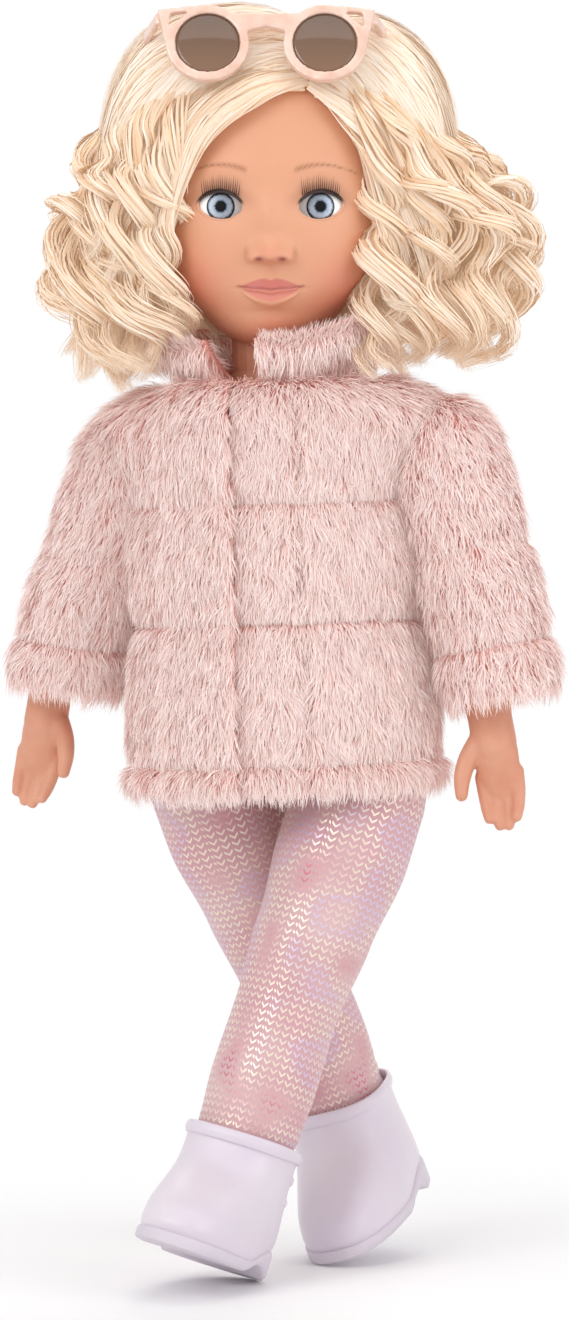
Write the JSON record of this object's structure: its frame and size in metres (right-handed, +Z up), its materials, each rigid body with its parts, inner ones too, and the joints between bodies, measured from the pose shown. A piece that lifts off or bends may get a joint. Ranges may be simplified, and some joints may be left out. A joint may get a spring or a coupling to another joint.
{
  "type": "play doll",
  "caption": "Standing play doll with crossed legs, turning head, rolling sleep eyes, swinging arms and legs, fluffy quilted jacket, leggings, ankle boots and lift-off sunglasses.",
  "frame": {"origin": "on the floor under the middle of the bounding box", "axes": "+Z up, -Y the way the face looks, +X to the left hand of the doll"},
  "size_m": [0.2006, 0.1598, 0.4534],
  "materials": {
    "skin_vinyl": "smooth matte vinyl",
    "joint_plastic": "moulded plastic",
    "body_cloth": "stuffed plain cloth",
    "legging_cloth": "stretch knit with a small shimmering print",
    "jacket_fur": "quilted long-pile faux fur",
    "eye_white": "polished",
    "eye_blue": "polished",
    "lash": "fine fibre",
    "eye_weight": "bare metal",
    "glasses_frame": "pearly",
    "glasses_lens": "tinted clear plastic",
    "hair": "rooted synthetic fibre",
    "boot": "smooth pearly imitation leather",
    "boot_sole": "moulded"
  },
  "bodies": {
    "torso": {"torso": "body_cloth", "shoulder_plate": "skin_vinyl", "neck_flange": "joint_plastic", "leggings_waist": "legging_cloth", "jacket_back": "jacket_fur", "jacket_skirt_back": "jacket_fur", "jacket_front_left": "jacket_fur", "jacket_skirt_front_left": "jacket_fur", "jacket_front_right": "jacket_fur", "jacket_skirt_front_right": "jacket_fur", "jacket_placket": "jacket_fur", "jacket_collar": "jacket_fur"},
    "head": {"head_shell": "skin_vinyl", "left_eye_socket": "joint_plastic", "right_eye_socket": "joint_plastic", "hair_crown": "hair", "hair_back": "hair", "hair_left": "hair", "hair_right": "hair"},
    "left_eye": {"left_eyeball": "eye_white", "left_iris": "eye_blue", "left_eyelashes": "lash", "left_eye_weight": "eye_weight"},
    "right_eye": {"right_eyeball": "eye_white", "right_iris": "eye_blue", "right_eyelashes": "lash", "right_eye_weight": "eye_weight"},
    "left_arm": {"left_arm": "skin_vinyl", "left_shoulder_disc": "joint_plastic", "left_sleeve": "jacket_fur"},
    "right_arm": {"right_arm": "skin_vinyl", "right_shoulder_disc": "joint_plastic", "right_sleeve": "jacket_fur"},
    "left_leg": {"left_leg": "skin_vinyl", "left_hip_disc": "joint_plastic", "left_legging": "legging_cloth", "left_boot_upper": "boot", "left_boot_sole": "boot_sole"},
    "right_leg": {"right_leg": "skin_vinyl", "right_hip_disc": "joint_plastic", "right_legging": "legging_cloth", "right_boot_upper": "boot", "right_boot_sole": "boot_sole"},
    "sunglasses": {"sunglasses_frame": "glasses_frame", "left_lens": "glasses_lens", "right_lens": "glasses_lens"}
  },
  "joints": [
    {"name": "head_turn", "type": "hinge", "parent": "torso", "child": "head", "pos_m": [-0.00321, 0.01204, 0.3281], "axis": [0, 0, 1], "range_deg": [-40, 40]},
    {"name": "left_eye_roll", "type": "hinge", "parent": "head", "child": "left_eye", "pos_m": [0.01429, -0.01942, 0.3791], "axis": [1, 0, 0], "range_deg": [0, 34]},
    {"name": "right_eye_roll", "type": "hinge", "parent": "head", "child": "right_eye", "pos_m": [-0.02071, -0.01942, 0.3791], "axis": [1, 0, 0], "range_deg": [0, 34]},
    {"name": "left_shoulder", "type": "hinge", "parent": "torso", "child": "left_arm", "pos_m": [0.06267, -0.00897, 0.29437], "axis": [-0.9505, 0.309, -0.0332], "range_deg": [-25, 75]},
    {"name": "right_shoulder", "type": "hinge", "parent": "torso", "child": "right_arm", "pos_m": [-0.06659, 0.03305, 0.28986], "axis": [-0.9505, 0.309, -0.0332], "range_deg": [-25, 75]},
    {"name": "left_hip", "type": "hinge", "parent": "torso", "child": "left_leg", "pos_m": [0.031, 0.00246, 0.1852], "axis": [-0.9462, 0.309, 0.0961], "range_deg": [0, 60], "deforming": ["jacket_skirt_front_left"]},
    {"name": "right_hip", "type": "hinge", "parent": "torso", "child": "right_leg", "pos_m": [-0.02766, 0.02162, 0.19116], "axis": [-0.9462, 0.309, 0.0961], "range_deg": [-14, 0]},
    {"name": "sunglasses_lift", "type": "slide", "parent": "head", "child": "sunglasses", "axis": [0, 0.342, 0.9397], "range_m": [0, 0.04]}
  ],
  "couplings": [
    {"joint": "right_eye_roll", "follows": "left_eye_roll", "ratio": 1}
  ]
}
